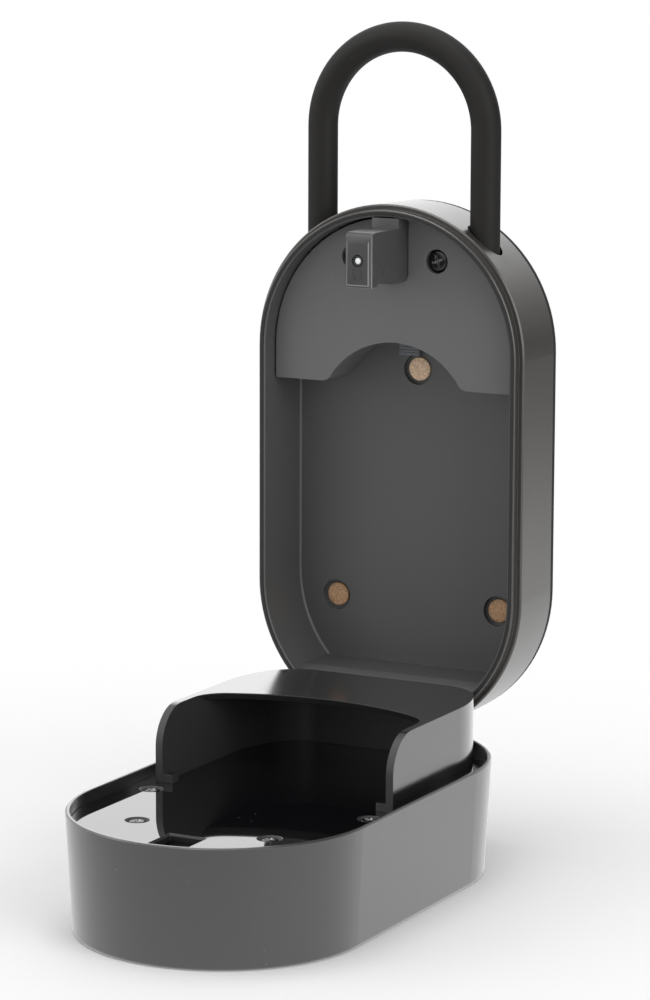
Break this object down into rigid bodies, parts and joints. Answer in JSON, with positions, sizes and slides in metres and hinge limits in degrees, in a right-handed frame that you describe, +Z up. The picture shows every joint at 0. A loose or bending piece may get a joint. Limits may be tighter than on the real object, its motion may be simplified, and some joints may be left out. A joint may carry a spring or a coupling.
{
  "type": "smart key safe",
  "caption": "Electronic key safe with a deep hinged door that carries a key bay, and a wall housing with a lift-off shackle, shown open.",
  "frame": {"origin": "middle of the footprint of the open safe, on the surface that the door lies on", "axes": "+Z up, along the standing housing; +X across, along the hinge pin; -Y the way that the open door points"},
  "size_m": [0.085, 0.1623, 0.2393],
  "materials": {
    "shell": "satin, lightly moulded",
    "panel": "high gloss",
    "hood": "satin",
    "cover": "satin",
    "window": "high gloss",
    "light_pipe": "frosted",
    "black_screw": "black oxide",
    "zinc_screw": "zinc plated",
    "steel": "turned",
    "board": "solder mask",
    "shield": "tin plated",
    "led": "diffuse",
    "chip": "satin",
    "inner_plastic": "satin",
    "cell": "printed sleeve",
    "bush": "natural acetal",
    "seal": "soft",
    "magnet": "white face",
    "disc": "soft",
    "pad": "soft",
    "sleeve": "soft matte",
    "slider": "satin"
  },
  "bodies": {
    "door": {"door_shell": "shell", "touch_window": "window", "light_pipe": "light_pipe", "inner_panel": "panel", "panel_screws": "black_screw", "key_hood": "hood", "hood_screws": "black_screw", "hinge_bracket": "hood", "bracket_screws": "black_screw", "hinge_pin": "steel", "circuit_board": "board", "board_screws": "zinc_screw", "radio_module": "shield", "status_led": "led", "door_sensor": "chip", "battery_cradle": "inner_plastic", "battery_cells": "cell", "battery_contacts": "zinc_screw", "gear_motor": "steel", "motor_clamp": "inner_plastic", "bolt_guide": "inner_plastic"},
    "lead_screw": {"lead_screw": "steel"},
    "latch_bolt": {"latch_bolt": "steel"},
    "housing": {"housing_shell": "shell", "hinge_bushes": "bush", "rim_seal": "seal", "mechanism_cover": "cover", "cover_screws": "black_screw", "striker": "cover", "striker_screws": "zinc_screw", "striker_magnet": "magnet", "hole_seals": "disc", "fixing_washers": "zinc_screw", "rear_pad": "pad", "lock_chassis": "inner_plastic", "chassis_screws": "zinc_screw", "detent_spring": "steel"},
    "release_slider": {"release_slider": "slider"},
    "lock_bolt_left": {"lock_bolt_left": "steel"},
    "lock_bolt_right": {"lock_bolt_right": "steel"},
    "shackle": {"shackle_core": "steel", "shackle_sleeve": "sleeve"}
  },
  "joints": [
    {"name": "door_hinge", "type": "hinge", "parent": "door", "child": "housing", "pos_m": [0, 0.0656, 0.0412], "axis": [1, 0, 0], "range_deg": [0, 90]},
    {"name": "screw_spin", "type": "hinge", "parent": "door", "child": "lead_screw", "pos_m": [0, -0.0363, 0.0219], "axis": [0, -1, 0], "range_deg": [0, 901]},
    {"name": "latch_slide", "type": "slide", "parent": "door", "child": "latch_bolt", "axis": [0, -1, 0], "range_m": [0, 0.005]},
    {"name": "release_slide", "type": "slide", "parent": "housing", "child": "release_slider", "axis": [0, 0, 1], "range_m": [0, 0.005]},
    {"name": "lock_left_slide", "type": "slide", "parent": "housing", "child": "lock_bolt_left", "axis": [-1, 0, 0], "range_m": [0, 0.0025]},
    {"name": "lock_right_slide", "type": "slide", "parent": "housing", "child": "lock_bolt_right", "axis": [1, 0, 0], "range_m": [0, 0.0025]},
    {"name": "shackle_lift", "type": "slide", "parent": "housing", "child": "shackle", "axis": [0, 0, 1], "range_m": [0, 0.038]}
  ],
  "couplings": [
    {"joint": "screw_spin", "follows": "latch_slide", "rad_per_m": 3141.6},
    {"joint": "lock_left_slide", "follows": "release_slide", "ratio": 0.5},
    {"joint": "lock_right_slide", "follows": "release_slide", "ratio": 0.5}
  ]
}
